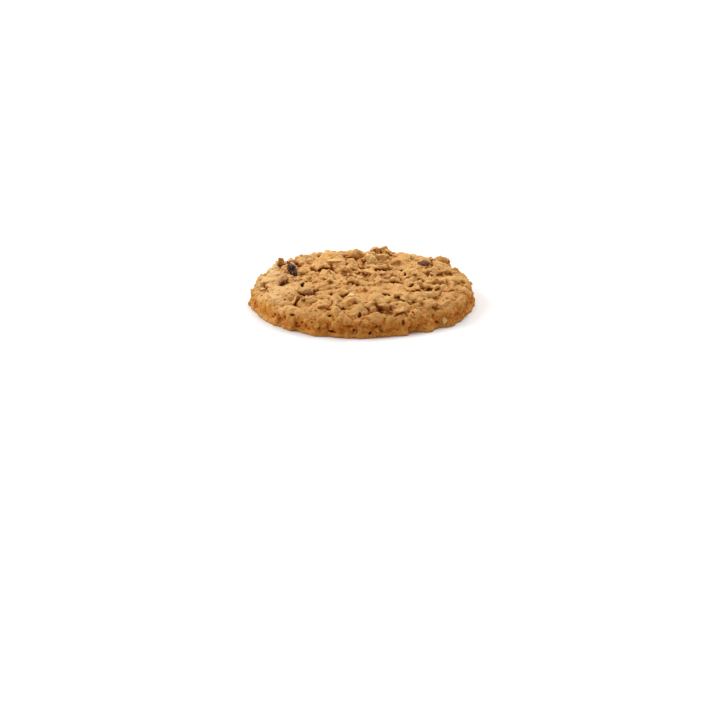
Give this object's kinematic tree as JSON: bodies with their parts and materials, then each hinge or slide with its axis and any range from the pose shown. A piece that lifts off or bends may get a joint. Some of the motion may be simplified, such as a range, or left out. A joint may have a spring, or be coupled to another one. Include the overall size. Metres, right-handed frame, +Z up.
{
  "type": "toffee cookie",
  "caption": "Round oat and toffee cookie with a craggy, gently domed top, a plump rim and a flat underside; lies flat on a plate, tray or shelf.",
  "frame": {"origin": "middle of the flat underside, on the surface that the cookie lies on", "axes": "+Z straight up through the cookie's thickness, from the flat underside to the craggy top; -Y is the side that faces a viewer"},
  "size_m": [0.0694, 0.0692, 0.0105],
  "materials": {
    "crust": "dry golden-brown baked crust, sandy and matt, toasted on the crags and red-brown in the crevices",
    "oat_flake": "pale, dry rolled oat, matt",
    "toffee": "dark baked toffee, slightly glossy with a thin pale bloom"
  },
  "bodies": {
    "root": {"cookie": "crust"}
  },
  "joints": []
}
